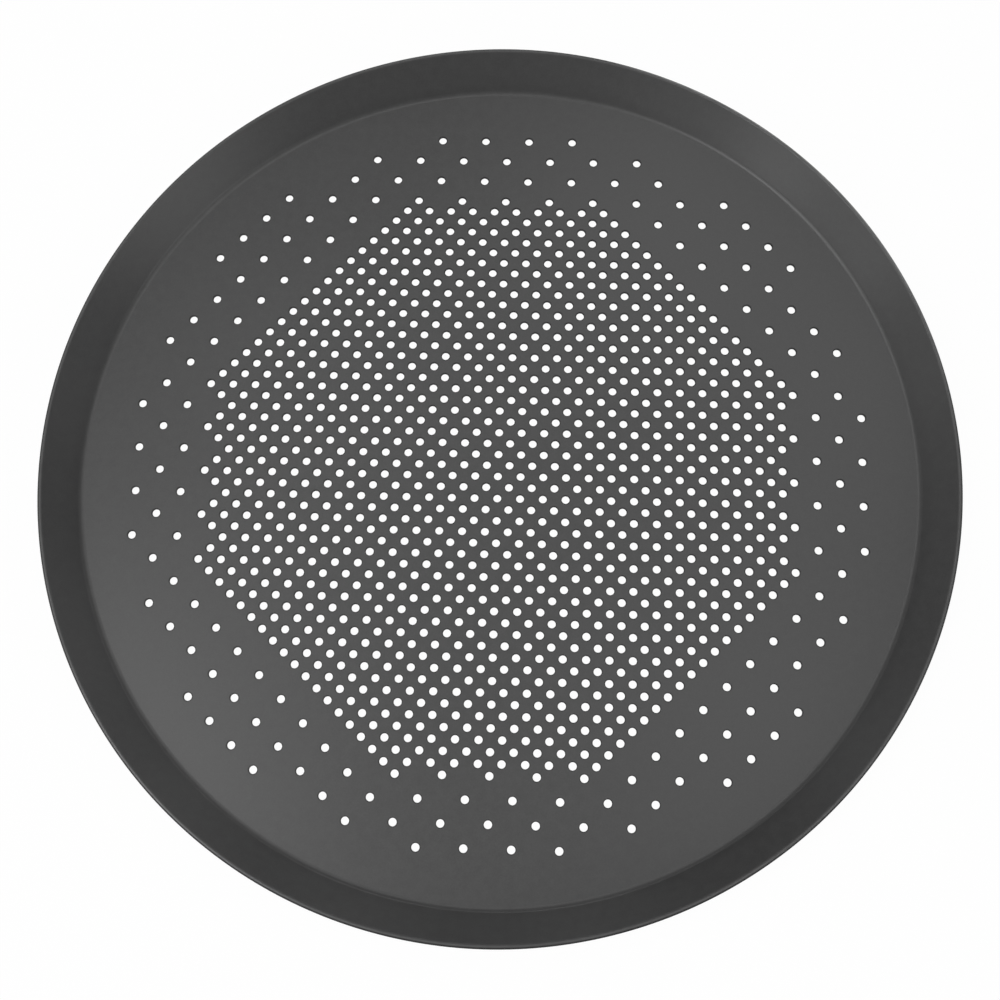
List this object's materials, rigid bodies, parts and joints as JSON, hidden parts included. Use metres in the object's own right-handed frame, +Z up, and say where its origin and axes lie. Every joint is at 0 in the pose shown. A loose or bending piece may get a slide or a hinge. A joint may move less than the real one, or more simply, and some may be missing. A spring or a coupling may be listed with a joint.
{
  "type": "pizza pan",
  "caption": "Shallow round pizza pan with a flat perforated floor, a short flared side wall and a turned-under rim, in dark non-stick coated steel.",
  "frame": {"origin": "centre of the pan's flat underside, on the surface that the pan stands on", "axes": "+Z up along the pan's axis of revolution, out of the open top; +X and +Y in the plane of the floor, with the hole grid turned 45 degrees to them"},
  "size_m": [0.3572, 0.3572, 0.015],
  "materials": {
    "nonstick_coated_steel": "matt dark grey non-stick coating with a very fine grain"
  },
  "bodies": {
    "root": {"perforated_floor": "nonstick_coated_steel", "flared_side_wall": "nonstick_coated_steel", "turned_under_rim": "nonstick_coated_steel"}
  },
  "joints": []
}
